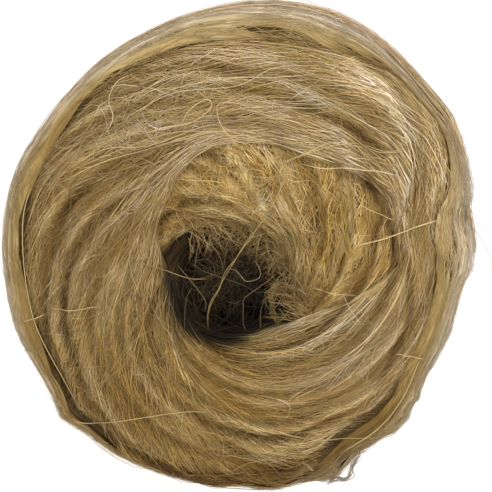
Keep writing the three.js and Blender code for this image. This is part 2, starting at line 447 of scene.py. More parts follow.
def face_lean(angle, run):
    """Lean of the outer lays in radians: from LEAN_NEAR at share 0.2 to LEAN_FAR at 0.7, and
    along the lip itself within a few mm of it."""
    share = share_at(run)
    outer = np.clip((share - 0.2) / 0.5, 0, 1)
    open_lean = np.radians(
        (1 - outer) * round_table(LEAN_NEAR, angle) + outer * round_table(LEAN_FAR, angle)
    )
    open_lean = open_lean * (0.35 + 0.65 * eased(share / 0.16))
    lip = round_table(LIP, angle)
    slope = np.interp(signed_degrees(angle), LIP_DEGREES, LIP_SLOPE)
    beside = np.exp(-np.clip(share - lip, 0, 1) / 0.08) * (lip > 0.02)
    return (1 - beside) * open_lean + beside * np.arctan2(slope, HOLE_RADIUS + WALL * lip)


def combed(angle, run, length, lean, own, allowed, points, bend, phase, waves):
    """Paths of strands that pass through each angle and run. From there a strand goes half its
    length forwards and half backwards, in short steps at the lean that the lays have there plus
    its own and a slow wave, and ends early where it would leave the allowed ground."""
    half = 10
    step = length / (2 * half)
    ways = []
    for way in (1, -1):
        a, r, line = angle.copy(), run.copy(), []
        for count in range(half):
            turn = lean(a, r) + own + bend * np.sin(phase + way * count * waves)
            radius = out_at(r)
            a = a + way * step * np.cos(turn) / radius
            r = r + way * step * np.sin(turn)
            line.append((a, r))
        ways.append(line)
    line = [*ways[1][::-1], (angle, run), *ways[0]]
    angles, runs = (np.stack([p[i] for p in line], axis=1) for i in (0, 1))
    good = allowed(angles, runs)
    number = np.arange(2 * half + 1)
    start = np.where(~good & (number < half), number + 1, 0).max(1)
    end = np.where(~good & (number > half), number - 1, 2 * half).min(1)
    kept = good[:, half] & (end - start >= 4)
    at = start[kept, None] + (end - start)[kept, None] * np.linspace(0, 1, points)
    low = np.minimum(at.astype(int), 2 * half - 1)
    part, which = at - low, np.flatnonzero(kept)[:, None]
    paths = [x[which, low] * (1 - part) + x[which, low + 1] * part for x in (angles, runs)]
    return *paths, kept


def laid(angles, runs, height, half_width, half_thick, corners, twist=0.0):
    """Rings of corners round strands that lie on the winding: ovals square to each path, that
    follow the winding under them, half_width across and half_thick up, turned by twist."""
    radius = out_at(runs)
    lean = np.arctan2(np.gradient(runs, axis=1), np.gradient(angles, axis=1) * radius)
    star = (twist + np.zeros_like(runs))[..., None] + np.arange(corners) * 2 * np.pi / corners
    across = (half_width + np.zeros_like(runs))[..., None] * np.cos(star)
    raised = (half_thick + np.zeros_like(runs))[..., None] * np.sin(star)
    return wound_form(
        angles[..., None] - across * np.sin(lean)[..., None] / radius[..., None],
        runs[..., None] + across * np.cos(lean)[..., None],
        height[..., None] + raised,
    )


def tubes(name, rings, tint, material, grain=None, smooth=True):
    """Closed tubes through rings of corners (strand, step, corner, xyz), drawn to a point at both
    ends, in one mesh. tint is the colour at each step of each strand, and grain, if given, the
    place along it, across it and the strand's own number. Its unwrapping gives every strand a
    long cell of its own, along by round."""
    count, steps, corners, _ = rings.shape
    inner = rings[:, 1:-1].reshape(count, -1, 3)
    vertices = np.concatenate([rings[:, :1].mean(2), inner, rings[:, -1:].mean(2)], axis=1)
    vertices[..., 2] = np.maximum(vertices[..., 2], 0)
    per = vertices.shape[1]
    k = np.arange(corners)
    s = np.arange(1, steps - 2)[:, None]
    # Each triangle's corners as (step, corner), where corner runs on to the full turn.
    head = np.stack([[0 * k, k], [0 * k + 1, k], [0 * k + 1, k + 1]], axis=-1)
    tail = np.stack([[0 * k + steps - 1, k], [0 * k + steps - 2, k + 1], [0 * k + steps - 2, k]], axis=-1)
    a, b = (s + 0 * k).ravel(), (0 * s + k).ravel()
    first = np.stack([[a, b], [a + 1, b + 1], [a, b + 1]], axis=-1)
    second = np.stack([[a, b], [a + 1, b], [a + 1, b + 1]], axis=-1)
    step, corner = np.concatenate([head, first, second, tail], axis=1)
    between_tips = 1 + (step - 1) * corners + corner % corners
    one = np.where(step == 0, 0, np.where(step == steps - 1, per - 1, between_tips))
    faces = (np.arange(count)[:, None, None] * per + one).reshape(-1, 3)
    made = surfaced(name, vertices.reshape(-1, 3), faces, smooth)

    def on_points(values):
        width = values.shape[-1]
        inside = np.broadcast_to(values[:, 1:-1, None], (count, steps - 2, corners, width))
        return np.concatenate([values[:, :1], inside.reshape(count, -1, width), values[:, -1:]], axis=1)

    shade = made.data.color_attributes.new("tint", "FLOAT_COLOR", "POINT")
    shade.data.foreach_set("color", np.concatenate(
        [on_points(tint), np.ones((count, per, 1))], axis=2).astype(np.float32).ravel())
    if grain is not None:
        inside = grain[:, 1:-1].reshape(count, -1, 3)
        ends = grain[:, :1].mean(2), grain[:, -1:].mean(2)
        grain_layer = made.data.attributes.new("grain", "FLOAT_VECTOR", "POINT")
        grain_layer.data.foreach_set(
            "vector", np.concatenate([ends[0], inside, ends[1]], axis=1).astype(np.float32).ravel())
    cells = max(1, int(np.sqrt(count / 12)))
    levels = -(-count // cells)
    number = np.arange(count)[:, None, None]
    u = (number % cells + 0.02 + 0.96 * step / (steps - 1)) / cells
    v = (number // cells + 0.05 + 0.9 * corner / corners) / levels
    unwrapped = made.data.uv_layers.new(name="OFBake")
    unwrapped.data.foreach_set("uv", np.stack([u, v], axis=-1).astype(np.float32).ravel())
    made.data.materials.append(material)
    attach(made, "root")
    return made


ANY_PHASE = 6.28              # about a full turn: a wave may start anywhere in it
# Hemp that is lighter is also paler: powers of the lightness for red, green and blue, over the
# spool and from fibre to fibre. Deeper fibres are painted browner, by so much for every mm, as
# the warm shade between the fibres.
PALING = np.array([0.8, 1.0, 1.6])
FIBRE_PALING = np.array([0.75, 1.0, 2.0])
SHADE_BROWNING = np.array([0.0, 0.05, 0.2])


def pointed(steps, steep=2.2, least=0.2):
    """How wide a fibre is along its length, as a share: full but for its two narrowing ends."""
    return np.clip(np.sin(np.pi * np.linspace(0, 1, steps)) * steep, least, 1)


def streaked(rng, base, steps, spread, ripple=0.07):
    """Colours along strands: each strand's base, lighter or darker and warmer or cooler by
    itself, and changing slowly along its length."""
    count = len(base)
    light = np.exp(rng.normal(0, spread, (count, 1))) ** FIBRE_PALING
    warm = rng.normal(0, 0.012, (count, 1))
    t = np.linspace(0, 1, steps)
    wave = np.sin(rng.uniform(0, ANY_PHASE, (count, 1)) + rng.uniform(3, 14, (count, 1)) * t)
    own_colour = base * light * (1 + warm * [0.6, 0, -2])
    return np.clip(own_colour[:, None] * (1 + ripple * wave)[..., None], 0, 1)


def coated(name, roughness, sheen):
    """A material whose principled surface has this roughness and sheen, and its node tree."""
    made = bpy.data.materials.new(name)
    made.use_nodes = True
    coat = made.node_tree.nodes["Principled BSDF"]
    coat.inputs["Roughness"].default_value = roughness
    coat.inputs["Specular IOR Level"].default_value = 0.2
    coat.inputs["Sheen Weight"].default_value = sheen
    coat.inputs["Sheen Roughness"].default_value = 0.5
    return made, made.node_tree, coat


def spread_out(tree, noise, low, high):
    """The noise's middle, 0.3 to 0.7, spread from low to high."""
    ends = {"From Min": 0.3, "From Max": 0.7, "To Min": low, "To Max": high}
    return node(tree, "ShaderNodeMapRange", ends, Value=noise.outputs["Fac"]).outputs["Result"]


def coloured(tree, coat, strength):
    """Colours the surface with each strand's own tint, times strength."""
    tint = node(tree, "ShaderNodeAttribute", {"attribute_name": "tint"}).outputs["Color"]
    scaled = node(tree, "ShaderNodeVectorMath", {"operation": "SCALE"}, Vector=tint, Scale=strength)
    tree.links.new(scaled.outputs["Vector"], coat.inputs["Base Color"])


# Combed hemp, dry and dull: flecked every half millimetre or so, where bits of stalk cling to it.
dry_hemp, tree, coat = coated("dry_combed_hemp", 0.8, 0.03)
coords = node(tree, "ShaderNodeTexCoord")
flecks = node(tree, "ShaderNodeTexNoise", {"Scale": 1800.0, "Detail": 2.0}, Vector=coords.outputs["Object"])
coloured(tree, coat, spread_out(tree, flecks, 0.93, 1.06))


def strand(name, fine, broad, rise):
    """Flat strands of fibres too fine to draw one by one: streaks 0.2 mm wide and a few mm long,
    lightest and darkest by fine, and broader ones over them, by broad, in the strand's own
    colour. The streaks rise by so much of 0.12 mm."""
    made, tree, coat = coated(name, 0.8, 0.03)
    grain_node = node(tree, "ShaderNodeAttribute", {"attribute_name": "grain"})
    strength = node(tree, "ShaderNodeMath", {"operation": "MULTIPLY"})
    noises = []
    for number, (stretch, ends) in enumerate((((0.16, 5.0, 1.0), fine), ((0.06, 1.1, 1.0), broad))):
        drawn = node(tree, "ShaderNodeVectorMath", {"operation": "MULTIPLY", 1: stretch})
        tree.links.new(grain_node.outputs["Vector"], drawn.inputs[0])
        noises.append(node(
            tree, "ShaderNodeTexNoise", {"Scale": 1.0, "Detail": 3.0}, Vector=drawn.outputs["Vector"],
        ))
        tree.links.new(spread_out(tree, noises[number], *ends), strength.inputs[number])
    coloured(tree, coat, strength.outputs["Value"])
    streak_bump = node(
        tree, "ShaderNodeBump", {"Strength": rise, "Distance": 0.12 * MM}, Height=noises[0].outputs["Fac"],
    )
    tree.links.new(streak_bump.outputs["Normal"], coat.inputs["Normal"])
    return made


# A strand as it was laid: its fibres stay apart, and show as fine light and dark lines along it.
laid_hemp = strand("laid_hemp_strand", (0.72, 1.22), (0.8, 1.2), 0.6)


def strewn(rng, lays, each, ground, lean, length, half_width, own, stray):
    """Where the fibres of so many locks start from: a lock is thrown on the ground, with its own
    turn, and its fibres lie side by side across its width, each a little out of line. Gives the
    lock's number, angle, run, length, turn of its own and place across the lock, -1 to 1."""
    home_angle, home_run = ground(rng, lays)
    lock_own = np.radians(rng.normal(0, own, lays))
    lock_length, lock_width = rng.uniform(*length, lays), rng.uniform(*half_width, lays)
    lock = np.repeat(np.arange(lays), each)
    total = len(lock)
    sideways = np.clip(rng.normal(0, 0.55, total), -1.25, 1.25)
    fibre_length = lock_length[lock] * rng.uniform(0.45, 1.05, total)
    forwards = rng.uniform(-0.5, 0.5, total) * (1.2 * lock_length[lock] - fibre_length * 0.6)
    angle, run = home_angle[lock], home_run[lock]
    turn = lean(angle, run) + lock_own[lock]
    radius = out_at(run)
    off = sideways * lock_width[lock]
    angle = angle + (forwards * np.cos(turn) - off * np.sin(turn)) / radius
    run = run + forwards * np.sin(turn) + off * np.cos(turn)
    own_turn = lock_own[lock] + np.radians(rng.normal(0, stray, total))
    return lock, angle, run, fibre_length, own_turn, sideways


def tucked(heights, tuck, drop, angles, runs):
    """Heights of strands whose ends go down into the winding by tuck mm, on ground lowered by
    drop."""
    t = np.linspace(0, 1, angles.shape[1])
    return heights - tuck * (2 * np.abs(t - 0.5)) ** 5 - drop(angles, runs)


BAND_CORNERS, FIBRE_CORNERS = 4, 3


def bands(name, rng, count, ground, lean, allowed, height, length, half_width, thick, own, tuck,
          bend, hues, drop, shade, points=12, spread=0.06, taper=0.7, material=laid_hemp,
          smooth=True):
    """Flat strands thrown over the ground and combed to the lean: so many fibres side by side,
    too fine to draw one by one. Each has its own height, turn, width and hue. Its ends narrow as
    a half sine to the power of taper."""
    angle, run = ground(rng, count)
    turn = np.radians(rng.normal(0, own, count))
    span = rng.uniform(*length, count)
    phase, waves = rng.uniform(0, 2 * np.pi, count), rng.uniform(0.1, 0.4, count)
    angles, runs, kept = combed(angle, run, span, lean, turn, allowed, points, bend, phase, waves)
    count = len(angles)
    t = np.linspace(0, 1, points)
    narrow = np.sin(np.pi * np.clip(t, 0.02, 0.98)) ** taper
    widths = rng.uniform(*half_width, (count, 1)) * narrow
    heights = tucked(rng.uniform(*height, (count, 1)) + 0 * t, tuck, drop, angles, runs)
    rings = laid(angles, runs, heights, widths, thick * narrow, BAND_CORNERS)
    corner = np.arange(BAND_CORNERS) * 2 * np.pi / BAND_CORNERS
    grain = np.stack(np.broadcast_arrays(
        (t * span[kept, None])[..., None],
        widths[..., None] * np.cos(corner),
        (np.arange(count) * 3.7)[:, None, None],
    ), axis=-1)
    hue = np.array(hues)[rng.integers(0, len(hues), count)]
    tint = streaked(rng, hue, points, spread) * shade(angles, runs)
    return tubes(name, rings, tint, material, grain, smooth)


def fibres(name, rng, lays, each, ground, lean, allowed, height, length, half_width, fibre_width,
           own, stray, tuck, bend, hues, drop, shade, points=10, spread=0.13, lift=(-0.15, 0.3),
           heap=0.4, wave=0.1, waves=(0.08, 0.35), lock_spread=0.13):
    """Single fibres, thrown in locks over the ground and combed to the lean. The fibres of a
    lock share its height, turn, sway, width and hue, a little scattered, and lie in a low
    heap."""
    lock, angle, run, span, turn, sideways = strewn(
        rng, lays, each, ground, lean, length, half_width, own, stray
    )
    lock_height = rng.uniform(*height, lays)
    hue = np.array(hues)[rng.integers(0, len(hues), lays)]
    hue = hue * np.exp(rng.normal(0, lock_spread, (lays, 1))) ** FIBRE_PALING
    phase = rng.uniform(0, 2 * np.pi, lays)[lock] + rng.normal(0, 0.5, len(lock))
    sway = rng.uniform(*waves, lays)[lock]
    angles, runs, kept = combed(angle, run, span, lean, turn, allowed, points, bend, phase, sway)
    count = len(angles)
    t = np.linspace(0, 1, points)
    heights = lock_height[lock][kept] - heap * np.clip(np.abs(sideways[kept]), 0, 1) ** 2
    heights = heights[:, None] + rng.uniform(*lift, (count, 1))
    along_fibre = rng.uniform(0, ANY_PHASE, (count, 1)) + rng.uniform(3, 9, (count, 1)) * t
    heights = heights + wave * np.sin(along_fibre)
    low, high = fibre_width
    widths = (low + (high - low) * rng.uniform(0, 1, (count, 1)) ** 2) / 2 * pointed(points)
    twist = rng.uniform(0, ANY_PHASE, (count, 1)) + rng.normal(0, 2.5, (count, 1)) * t
    lying = tucked(heights, tuck, drop, angles, runs)
    rings = laid(angles, runs, lying, widths, widths * 0.75, FIBRE_CORNERS, twist)
    tint = streaked(rng, hue[lock][kept], points, spread) * shade(angles, runs)
    tint = tint * np.exp(SHADE_BROWNING * np.clip(heights, -2, 0)[..., None])
    return tubes(name, rings, tint, dry_hemp)


def plain(angles, runs):
    """No change in the shade."""
    return np.ones_like(angles)[..., None]


def level(angles, runs):
    """No drop."""
    return np.zeros_like(angles)


# Where the painted shade deep in the hole begins, in mm outwards from the mouth, at each angle.
HOLE_SHADE_FROM = {0: -11, 34: -13, 65: -13, 95: -12, 111: -11, 123: -5, 135: -0.4, 145: 1.4, 165: 1.4,
             180: 2.3, 195: 2.5, 210: 1.9, 225: 2.0, 240: 2.1, 255: 1.3, 270: 0.4, 285: 0, 300: -2,
             312: -0.4, 324: 1.4, 338: 1.3, 346: -3}


def hole_shade_line(angles):
    """How far along the section the painted shade in the hole reaches at each angle, in mm."""
    ragged = 0.6 * np.sin(7 * angles) + 0.5 * np.sin(23 * angles + 1) + 0.4 * np.sin(41 * angles)
    return place["mouth"] + round_table(HOLE_SHADE_FROM, angles) + ragged


def hole_shade(angles, runs):
    """Painted shade in the hole: how light the fibres are by how deep they lie in it, 1 above the
    shade's edge, and falling to a deep brown below it."""
    return (0.06 + 0.94 * eased((runs - hole_shade_line(angles) + 2.5) / 4.5))[..., None]


# How far past the groove, in mm, the upper end's lays run on over the shoulder at each angle:
# beside this stretch the rim's wraps lie lower, on the side.
OVERRUN = {2: 0, 14: 1.6, 40: 2, 60: 1, 72: 0, 236: 0, 247: 5.5, 262: 7, 284: 6.5, 293: 0}


def overrun(angles):
    """OVERRUN at these angles."""
    return round_table(OVERRUN, angles)


patch_rng = np.random.default_rng(21)
# Two sets of waves, each in radians for every mm to the right and upwards, and where it starts.
PATCHES = [
    [(turn * np.cos(way), turn * np.sin(way), start) for turn, way, start in zip(
        patch_rng.uniform(0.6, 2.2, 24),
        patch_rng.uniform(0, ANY_PHASE, 24),
        patch_rng.uniform(0, ANY_PHASE, 24),
    )]
    for part in range(2)
]


def patchy(part, angles, runs):
    """Patches a few mm across, about zero, to about 1 or -1: waves over the upper end."""
    reach = out_at(runs)
    x, y = reach * np.cos(angles), reach * np.sin(angles)
    return 0.29 * sum(np.sin(a * x + b * y + c) for a, b, c in PATCHES[part])


GOLD, STRAW = colour("a18450"), colour("a1875b")
# How much more golden than elsewhere the lays are at each angle.
GOLDEN = {0: -0.12, 60: -0.12, 100: 0.0, 150: 0.05, 200: 0.05, 235: 0.45, 270: 0.9, 300: 0.28, 325: -0.15}
# How much lighter the lays are painted at each angle: painted light, lighter where the light falls and
# darker where it falls less.
FACE_LIGHT_BY_ANGLE = {0: 1.08, 30: 1.08, 60: 1.44, 90: 1.51, 125: 1.17, 155: 1.0, 190: 0.98, 225: 0.87, 255: 0.97,
            285: 1.15, 315: 1.37, 340: 1.19}


# A broad lock paler than its neighbours: the share of the wall at which it lies.
PALE_LOCK = {10: 0.91, 20: 0.88, 32: 0.85, 45: 0.81, 58: 0.78, 72: 0.75}


def pale_lock(angles, runs):
    """How far a place is on the pale lock: 1 along its middle, 0 off it."""
    degrees = signed_degrees(angles)
    line = np.interp(degrees, list(PALE_LOCK), list(PALE_LOCK.values()))
    ends = eased((degrees - 8) / 12) * eased((72 - degrees) / 20)
    return ends * np.exp(-0.5 * ((share_at(runs) - line) * WALL / 1.6) ** 2)


def face_shade(angles, runs):
    """The upper end's fibres, with painted light and shade: deep brown down the hole, darker in the
    creases, between the ridges, in the groove and where the lays roll over the shoulder, lighter on
    the ridges and where the light falls, and drifting from place to place between golden and
    greyish straw."""
    ridge = ridges(angles, runs)
    # Painted shade in the creases and between the ridges, painted light on the ridges.
    light = np.exp(0.2 * np.clip(ridge, -1.5, 1.5) - 0.8 * creases(angles, runs))
    # Painted shade where the lays roll over the shoulder, at about 240 to 290 degrees.
    edge_shade = 1 - 0.66 * eased((overrun(angles) - 2) / 4) * eased((runs - place["groove"] + 5) / 6)
    dive = eased((runs - place["groove"] - overrun(angles) + 0.8) / 1.6)
    # Painted shade in the groove, deepest where it is open.
    groove_shade = 1 - 0.5 * round_table(GROOVE_OPEN, angles) * dive
    light = light * edge_shade * round_table(FACE_LIGHT_BY_ANGLE, angles) * groove_shade
    light = light * np.exp(0.07 * patchy(0, angles, runs) + 0.34 * pale_lock(angles, runs))
    drift = 0.5 + 0.5 * np.sin(2.3 * ridge + 2 * angles + runs / 9) - round_table(GOLDEN, angles)
    hue = (GOLD + (STRAW - GOLD) * drift[..., None]) / ((GOLD + STRAW) / 2)
    hue = hue * (1 + patchy(1, angles, runs)[..., None] * [0.01, -0.01, -0.05])
    return hole_shade(angles, runs) * light[..., None] ** PALING * hue


def face_ground(rng, lays):
    """Places spread evenly over the upper end, outside the lip."""
    share = np.sqrt(rng.uniform(0.02, 0.78, lays))
    angle = rng.uniform(0, 2 * np.pi, lays)
    share = np.maximum(share, round_table(LIP, angle) + 0.02)
    return angle, np.interp(share, FACE_SHARES, FACE_RUNS)


def on_face(angles, runs):
    """Outside the lip, above the hole's throat and in under the rim."""
    lip = round_table(LIP, angles)
    outside_lip = (share_at(runs) > lip - 0.01) | (lip < 0.02)
    far = place["groove"] + 2.5 + overrun(angles)
    return outside_lip & (runs > place["throat"]) & (runs < far)


def well_on_face(angles, runs):
    """The upper end away from the lip, the hole and the groove."""
    share = share_at(runs)
    return (share > round_table(LIP, angles) + 0.05) & (share > 0.14) & (runs < place["groove"] - 3)


def face_drop(angles, runs):
    """The outer lays roll down over the lip, and dive into the groove under the rim's wraps."""
    lip = round_table(LIP, angles)
    over_lip = 1.2 * np.exp(-np.clip(share_at(runs) - lip, 0, 1) / 0.025) * (lip > 0.03)
    dive = 0.9 + 1.9 * round_table(GROOVE_OPEN, angles)
    return over_lip + dive * eased((runs - place["groove"] - overrun(angles) + 0.7) / 2.6)


face = dict(
    ground=face_ground, lean=face_lean, allowed=on_face, drop=face_drop, shade=face_shade, hues=HEMP,
)
bands(
    "buried_lays", np.random.default_rng(4), count=240, height=(-2.0, -1.3), length=(30, 60),
    half_width=(1.2, 2.6), thick=0.15, own=6, tuck=0.5, bend=0.05,
    **(face | {"allowed": well_on_face, "hues": BURIED_SHADE_HEMP}),
)
fibres(
    "bedded_lays", np.random.default_rng(5), lays=235, each=18, height=(-1.3, -0.6),
    length=(35, 75), half_width=(1.5, 4), fibre_width=(0.14, 0.32), own=8, stray=3, tuck=0.9,
    bend=0.1, points=8, spread=0.06, lock_spread=0.1, **face,
)
fibres(
    "top_lays", np.random.default_rng(15), lays=225, each=20, height=(-0.75, 0.0),
    length=(24, 62), half_width=(1.0, 3.5), fibre_width=(0.1, 0.22), own=7.5, stray=4.5, tuck=0.8,
    bend=0.15, points=9, spread=0.07, lift=(-0.08, 0.08), wave=0.05, lock_spread=0.1, **face,
)


def stray_ground(rng, lays):
    """Places spread over the upper end, but few where the lays are combed smoothest."""
    angle, run = face_ground(rng, lays)
    smooth = 0.6 * eased((np.cos(angle - np.radians(62)) - 0.6) / 0.3)
    moved = rng.uniform(0, 1, lays) < smooth
    return np.where(moved, rng.uniform(1.9, 6.2, lays), angle), run


fibres(
    "straying_fibres", np.random.default_rng(25), lays=640, each=2, height=(-0.4, 0.25),
    length=(10, 38), half_width=(1, 4), fibre_width=(0.07, 0.15), own=24, stray=14, tuck=0.8,
    bend=0.45, points=9, spread=0.1, lock_spread=0.1, **(face | {"ground": stray_ground}),
)
fibres(
    "curled_fibres", np.random.default_rng(26), lays=430, each=1, height=(-0.2, 0.3),
    length=(7, 24), half_width=(1, 4), fibre_width=(0.06, 0.13), own=50, stray=0, tuck=0.7,
    bend=1.1, waves=(0.12, 0.5), spread=0.09, **(face | {"ground": stray_ground}),
)


def tousled_ground(rng, lays):
    """Places where the upper end has been ruffled: a patch beside the groove."""
    share = np.clip(rng.normal(0.66, 0.09, lays), 0.45, 0.8)
    return np.radians(rng.normal(121, 13, lays)), np.interp(share, FACE_SHARES, FACE_RUNS)


fibres(
    "tousled_fibres", np.random.default_rng(29), lays=60, each=2, height=(0.0, 0.5), length=(9, 26),
    half_width=(0.6, 2), fibre_width=(0.08, 0.14), own=30, stray=12, tuck=0.6, bend=1.0,
    waves=(0.1, 0.35), spread=0.08, **(face | {"ground": tousled_ground, "hues": PALE_HEMP}),
)


def lip_ground(rng, lays):
    """Places along the lip, within a few mm of it."""
    angle = np.radians(rng.uniform(-44, 168, lays))
    share = round_table(LIP, angle) + rng.uniform(0.0, 0.08, lays)
    return angle, np.interp(share, FACE_SHARES, FACE_RUNS)


fibres(
    "lip_lays", np.random.default_rng(35), lays=75, each=16, height=(-0.4, 0.3),
    length=(20, 50), half_width=(0.8, 2), fibre_width=(0.12, 0.26), own=4, stray=3, tuck=0.6,
    bend=0.08, points=9, spread=0.08, **(face | {"ground": lip_ground}),
)

# ---------------------------------------------------------------------------------------------
# The dish: the inner layer that shows between the lip and the hole. Its fibres run in steeply
# and lie looser and more tangled than the outer lays.
# ---------------------------------------------------------------------------------------------
# How far its fibres lean outwards, in degrees, at each angle.
LEAN_DISH = {-50: 50, -30: 48, -10: 40, 10: 30, 30: 35, 60: 42, 90: 60, 120: 62, 150: 40, 170: 20}
DISH_HEMP = colours("9f804d a88c5c a28c61 927546 9c8049 aa9264 886b3e ac9666")
# How much lighter the dish is painted than the outer lays, in red, green and blue, and at each
# angle: painted light against the shade in the lee of the lip, and more golden, least at 120 to
# 170 degrees.
DISH_LIGHT_AND_GOLD = np.array([1.21, 1.17, 0.95])
DISH_LIGHT_BY_ANGLE = {-50: 0.97, 0: 0.97, 60: 0.96, 95: 0.93, 120: 0.84, 145: 0.8, 170: 0.85}


def dish_lean(angle, run):
    """Lean of the dish's own fibres, in radians."""
    return np.radians(round_table(LEAN_DISH, angle))


def dish_ground(rng, lays):
    """Places spread over the dish, between the hole and just under the lip."""
    angle = np.radians(rng.uniform(-48, 170, lays))
    far = np.interp(round_table(LIP, angle), FACE_SHARES, FACE_RUNS) + 2
    near = hole_shade_line(angle) - 2
    return angle, near + (far - near) * rng.uniform(0, 1, lays) ** 0.7


def in_dish(angles, runs):
    """From a little way down the hole to a little way under the lip."""
    return (share_at(runs) < round_table(LIP, angles) + 0.05) & (runs > hole_shade_line(angles) - 5)


def dish_depth(angles, runs):
    """The dish lies LIP_DROP below the outer lays."""
    return np.full_like(angles, LIP_DROP)


def dish_shade(angles, runs):
    """As for the outer lays, but with painted light: lighter against the shade in the lee of the
    lip, and more golden and patchier."""
    light = round_table(DISH_LIGHT_BY_ANGLE, angles) * np.exp(0.06 * patchy(0, angles, runs))
    return DISH_LIGHT_AND_GOLD * light[..., None] ** PALING * face_shade(angles, runs)


dish = dict(ground=dish_ground, lean=dish_lean, allowed=in_dish, drop=dish_depth, shade=dish_shade,
            hues=DISH_HEMP)
bands(
    "buried_dish_lays", np.random.default_rng(16), count=90, height=(-2.0, -1.0), length=(15, 35),
    half_width=(1.5, 3), thick=0.15, own=10, tuck=0.4, bend=0.1, **dish,
)
fibres(
    "dish_lays", np.random.default_rng(6), lays=230, each=12, height=(-1.2, -0.2), length=(10, 28),
    half_width=(1.2, 3), fibre_width=(0.1, 0.22), own=18, stray=10, tuck=0.5, bend=0.4,
    lift=(-0.1, 0.25), points=9, spread=0.09, lock_spread=0.07, **dish,
)
fibres(
    "dish_tangle", np.random.default_rng(28), lays=450, each=2, height=(-0.6, 0.3), length=(6, 20),
    half_width=(1, 3), fibre_width=(0.06, 0.14), own=42, stray=20, tuck=0.4, bend=0.9,
    waves=(0.1, 0.4), points=9, spread=0.11, lock_spread=0.1, **dish,
)

# ---------------------------------------------------------------------------------------------
# The rim: the last wraps, laid round the shoulder side by side like smooth tapes. They hold the
# ends of the lays down, with a narrow dark groove between.
# ---------------------------------------------------------------------------------------------


def leaning(degrees):
    """A lean of so many degrees outwards everywhere."""
    return lambda angle, run: np.full_like(angle, np.radians(degrees))


def between(low, high):
    """The ground from one run along the section to another."""
    return lambda angles, runs: (runs > low) & (runs < high)


def rim_ground(rng, lays):
    """Places spread over the rim and the shoulder, most of them beside the groove."""
    share = rng.uniform(0, 1, lays) ** 1.35
    reach = place["shoulder"] - place["groove"] + 6
    return rng.uniform(0, 2 * np.pi, lays), place["groove"] + 1.3 + reach * share


def rim_edge(angles):
    """Where the rim's inner edge runs: further out where the groove gapes."""
    gape = 2.0 * eased((round_table(GROOVE_OPEN, angles) - 0.5) / 0.4)
    return place["groove"] + 0.2 + gape + overrun(angles)


def on_rim(angles, runs):
    """Outside the groove."""
    return (runs > rim_edge(angles)) & (runs < place["side high"] + 1)


# How light the rim is painted at each angle, beside the groove and on its outer edge: painted
# light and shade, lighter where the light falls and darkest from about 240 to 300 degrees.
INNER_LIGHT = {0: 1.2, 16: 1.02, 30: 0.92, 45: 0.9, 60: 0.94, 75: 1.1, 90: 1.2, 105: 1.15,
               120: 1.05, 150: 0.7, 180: 0.88, 210: 0.74, 240: 0.52, 262: 0.45, 285: 0.42,
               300: 0.56, 330: 0.68}
OUTER_LIGHT = {0: 1.15, 16: 0.88, 30: 0.66, 45: 0.8, 60: 0.99, 90: 0.95, 120: 0.97, 150: 0.98,
               180: 1.05, 210: 1.06, 240: 0.72, 262: 0.66, 285: 0.62, 300: 0.5, 330: 0.96}
# The outer rim's pale grey is hemp with a painted sheen, as on the shoulder's edge in the light.
INNER_RIM, OUTER_RIM_SHEEN, SIDE_HEMP = colour("a98f5a"), colour("b8a98c"), colour("a4936f")
# How far down the side the painted pale sheen reaches at each angle, in mm from the shoulder: furthest on
# the side the light falls on.
SHEEN_REACH = {0: 14, 20: 30, 55: 48, 90: 30, 120: 16, 180: 10, 300: 12}


def outer_wraps_lit(angles, runs):
    """Colour of the outer wraps, with painted light: golden beside the groove, a painted pale grey
    sheen on the shoulder, lit and shaded by angle, and plain hemp further down the side."""
    outer = eased((runs - place["groove"] - 1) / 10)
    low = eased((runs - place["shoulder"]) / round_table(SHEEN_REACH, angles))[..., None]
    inner_light = round_table(INNER_LIGHT, angles)
    light = (inner_light + (round_table(OUTER_LIGHT, angles) - inner_light) * outer)[..., None]
    rim = (INNER_RIM + (OUTER_RIM_SHEEN - INNER_RIM) * outer[..., None]) * light ** PALING
    patches = np.exp(0.05 * patchy(0, angles, runs))[..., None] ** PALING
    return (rim * (1 - low) + SIDE_HEMP * low) * patches


def rim_shade(angles, runs):
    """As for all outer wraps, with painted shade close to the groove, deepest where it is open."""
    shade = 0.12 + 0.42 * round_table(GROOVE_OPEN, angles)
    beside = 1 - shade * np.exp(-np.clip(runs - rim_edge(angles), 0, 9) / 1.5)
    return outer_wraps_lit(angles, runs) / INNER_RIM * beside[..., None] ** PALING


# Hemp of the last wraps, felted smooth by handling: its lines have run together and are faint.
FELTED_HEMP = colours("a68e5f a38c5d a78f62 a08959")
felted_hemp = strand("felted_hemp_strand", (0.84, 1.12), (0.92, 1.06), 0.35)
rim = dict(
    ground=rim_ground, lean=leaning(0), allowed=on_rim, drop=level, shade=rim_shade, hues=FELTED_HEMP,
)
bands(
    "rim_tapes", np.random.default_rng(17), count=190, height=(-0.85, -0.65), length=(22, 50),
    half_width=(0.7, 1.4), thick=0.1, own=4, tuck=0.4, bend=0.1, points=13, spread=0.03,
    material=felted_hemp, smooth=False, **rim,
)
fibres(
    "rim_wraps", np.random.default_rng(7), lays=150, each=13, height=(-0.66, -0.54), length=(12, 42),
    half_width=(1.2, 3.0), fibre_width=(0.08, 0.16), own=6.0, stray=7.0, tuck=0.3, bend=0.2,
    points=8, spread=0.03, lift=(-0.03, 0.04), wave=0.02, lock_spread=0.03, heap=0.04, **rim,
)
fibres(
    "rim_fuzz", np.random.default_rng(27), lays=230, each=6, height=(-0.55, -0.42), length=(4, 13),
    half_width=(1, 3), fibre_width=(0.05, 0.1), own=28, stray=24, tuck=0.4, bend=0.7, points=6,
    spread=0.03, lock_spread=0.03, heap=0.05, lift=(-0.05, 0.12), **rim,
)


